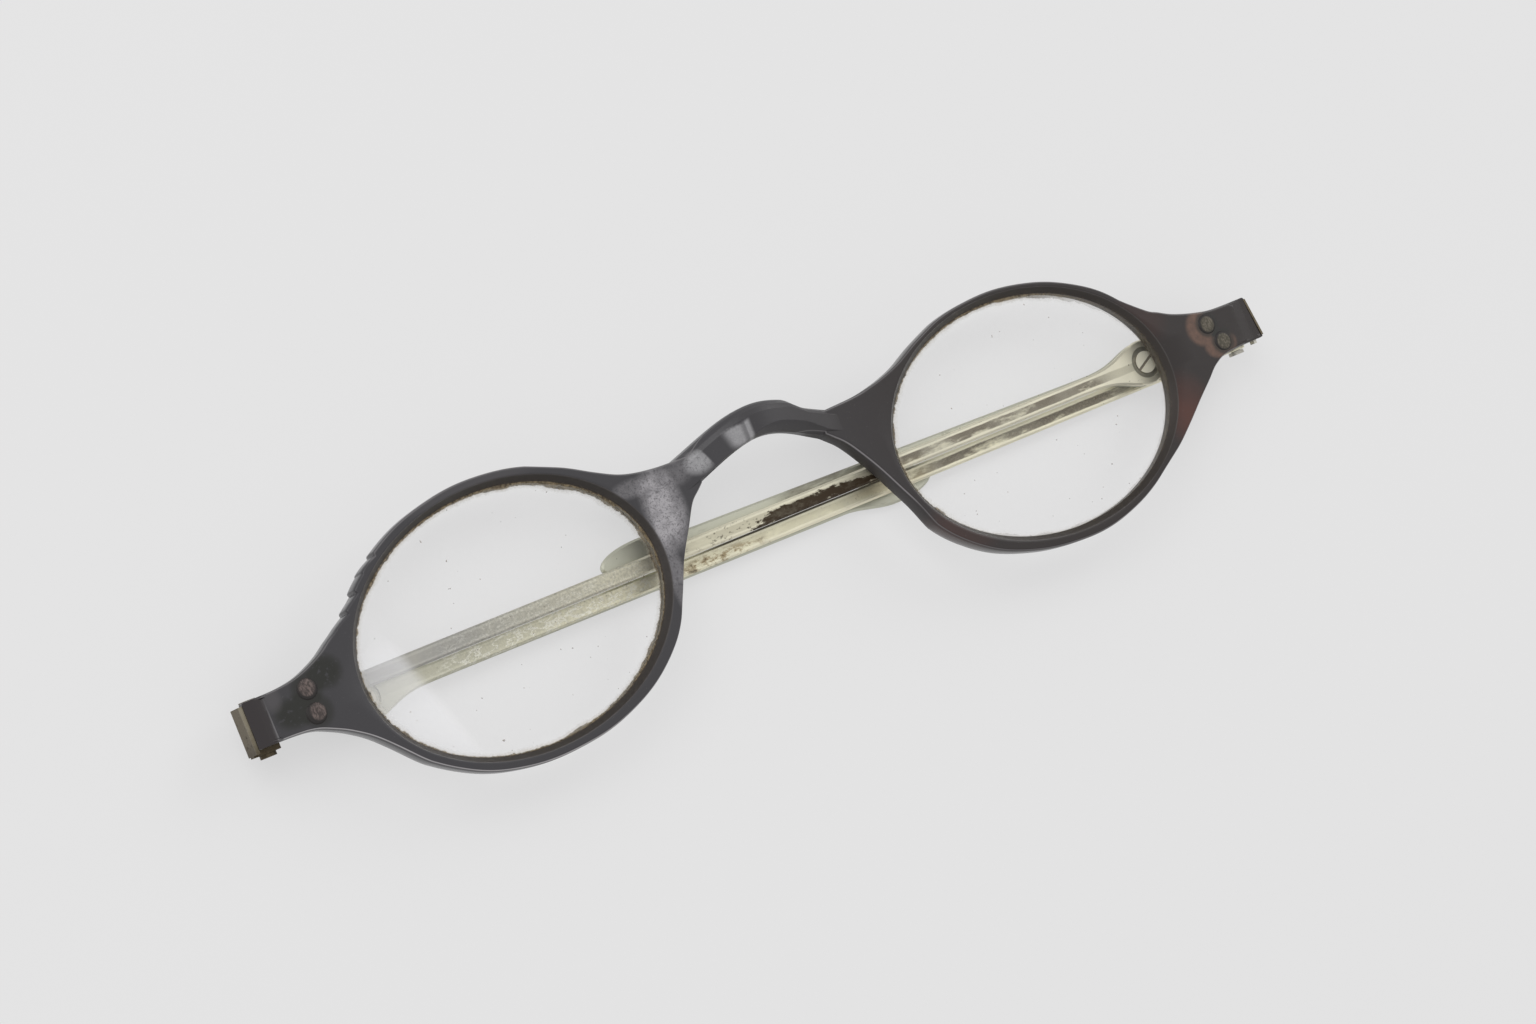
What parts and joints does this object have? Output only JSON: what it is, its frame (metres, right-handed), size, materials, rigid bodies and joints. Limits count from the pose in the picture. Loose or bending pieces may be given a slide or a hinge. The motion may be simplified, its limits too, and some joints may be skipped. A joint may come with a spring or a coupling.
{
  "type": "turn-pin spectacles",
  "caption": "Small oval horn spectacles with a bowed bridge, clear lenses and flat metal sides, folded behind the front, whose tips turn on slotted pins.",
  "frame": {"origin": "Centre of the bounding box in x and y, at the height of the lowest point of the folded spectacles", "axes": "+X along the front toward the end that is at the right in the picture, +Y toward the brow, +Z out of the face of the front"},
  "size_m": [0.115, 0.0262, 0.0073],
  "materials": {
    "horn": "satin",
    "lens": "polished",
    "silver": "satin",
    "brass": "satin"
  },
  "bodies": {
    "front": {"front": "horn", "lens_left": "lens", "lens_right": "lens", "joint_plate_left": "brass", "joint_plate_right": "brass", "rivet_left_upper": "silver", "rivet_left_lower": "silver", "rivet_right_upper": "silver", "rivet_right_lower": "silver", "joint_pin_left": "silver", "joint_pin_right": "silver"},
    "side_left": {"side_left": "silver", "turn_pin_left": "brass"},
    "side_right": {"side_right": "silver", "turn_pin_right": "brass"},
    "tip_left": {"tip_left": "silver"},
    "tip_right": {"tip_right": "silver"}
  },
  "joints": [
    {"name": "side_left_open", "type": "hinge", "parent": "front", "child": "side_left", "pos_m": [-0.05585, -0.00052, 0.00311], "axis": [0, 1, 0], "range_deg": [0, 90]},
    {"name": "side_right_open", "type": "hinge", "parent": "front", "child": "side_right", "pos_m": [0.05585, -0.00062, 0.00311], "axis": [0, -1, 0], "range_deg": [0, 90]},
    {"name": "tip_left_turn", "type": "hinge", "parent": "side_left", "child": "tip_left", "pos_m": [0.04559, 0.00084, 0.00271], "axis": [0, 0, -1], "range_deg": [0, 179]},
    {"name": "tip_right_turn", "type": "hinge", "parent": "side_right", "child": "tip_right", "pos_m": [-0.04505, -0.00197, 0.00193], "axis": [-0.0081, 0, -1], "range_deg": [0, 179.7]}
  ]
}
